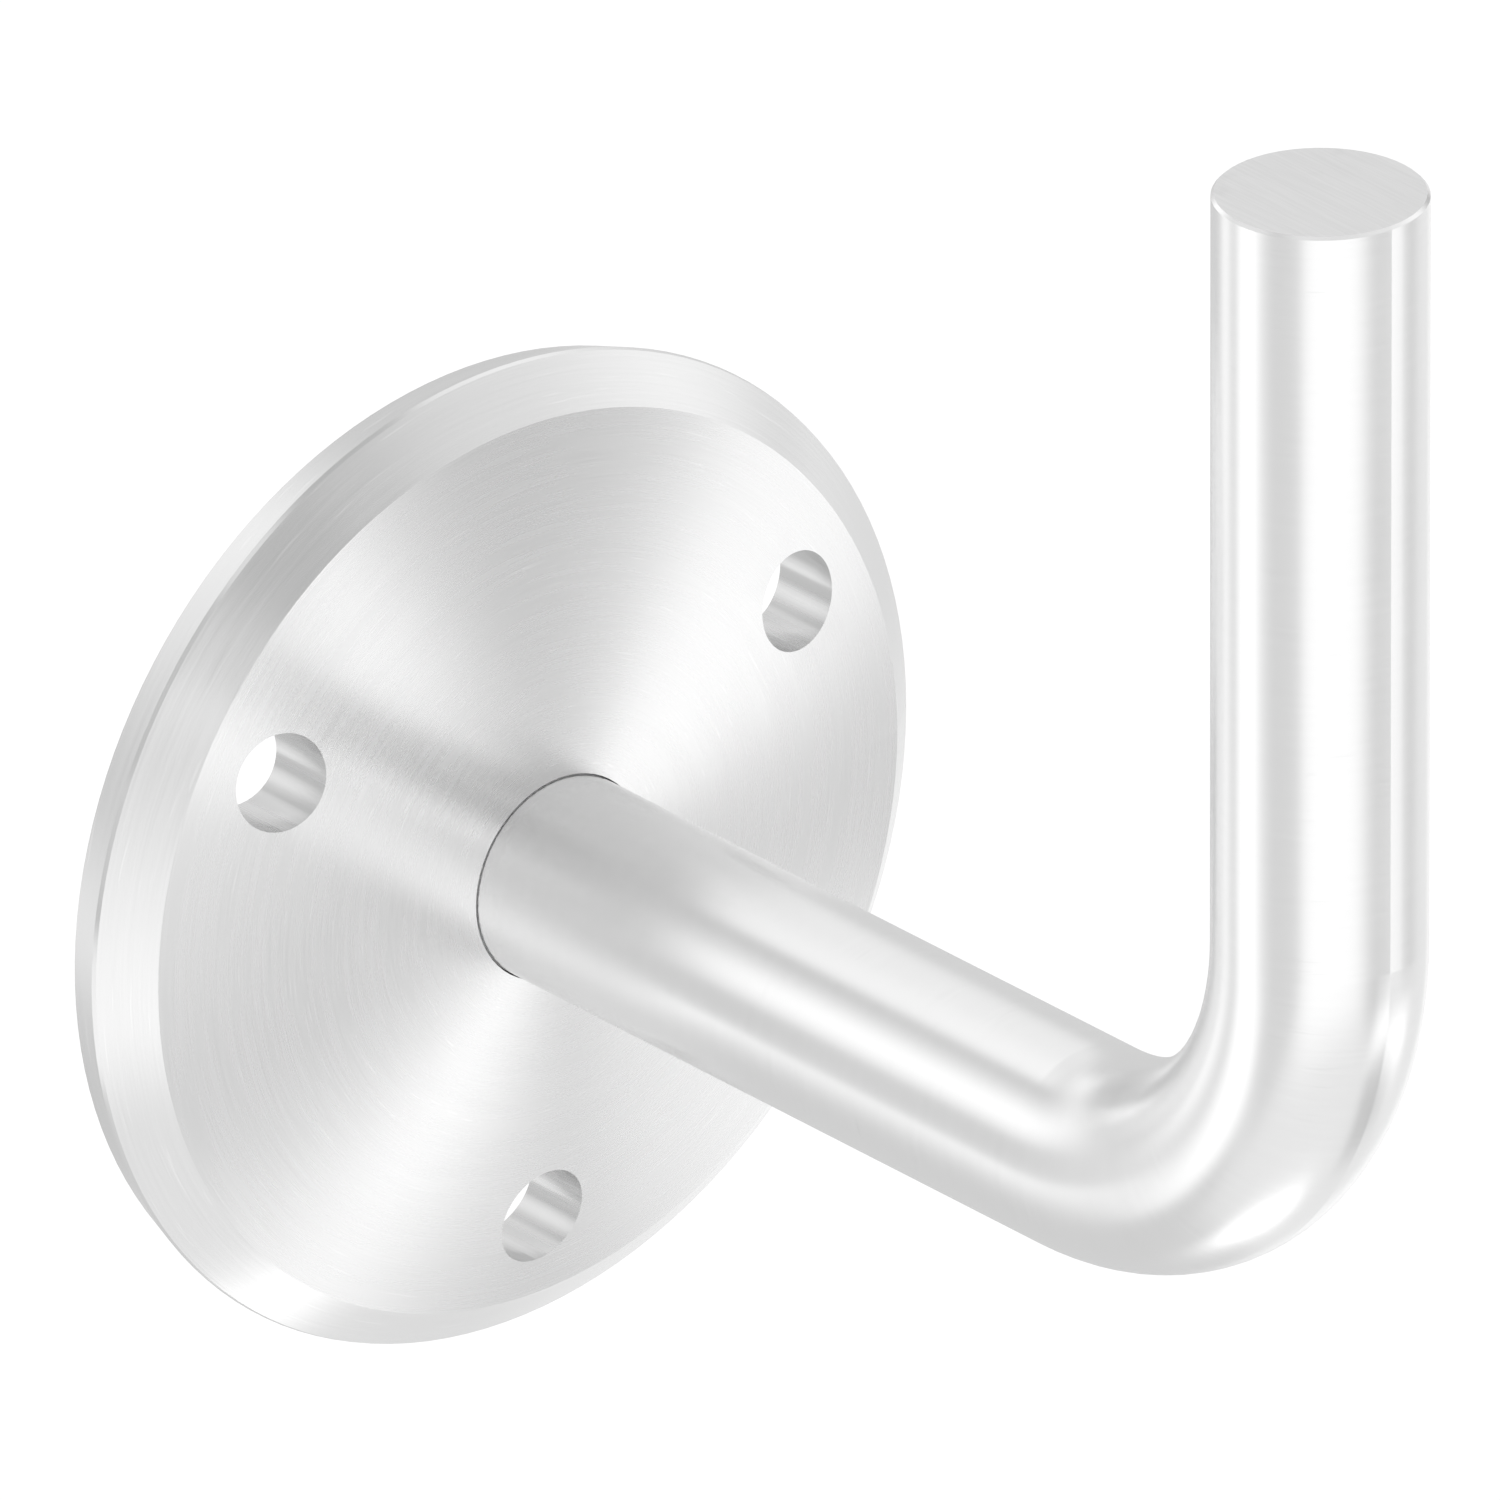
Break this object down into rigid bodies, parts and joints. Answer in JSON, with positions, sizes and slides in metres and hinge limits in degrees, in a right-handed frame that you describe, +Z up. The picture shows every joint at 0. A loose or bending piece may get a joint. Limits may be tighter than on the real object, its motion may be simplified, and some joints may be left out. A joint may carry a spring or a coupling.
{
  "type": "handrail bracket",
  "caption": "Wall bracket for a handrail: a round bar bent square and welded behind a dished round plate with a ring of screw holes.",
  "frame": {"origin": "middle of the wall plate's back, in the plane of the wall", "axes": "+Z up along the upright, +Y into the wall, so the bracket stands out along -Y; +X to the right seen from the room"},
  "size_m": [0.0682, 0.092, 0.1094],
  "materials": {
    "plate_steel": "brushed in rings around the middle",
    "bar_steel": "fine polish along the bar",
    "weld_steel": "weld metal as it cooled, wire brushed"
  },
  "bodies": {
    "root": {"wall_plate": "plate_steel", "support_bar": "bar_steel", "rear_weld": "weld_steel"}
  },
  "joints": []
}
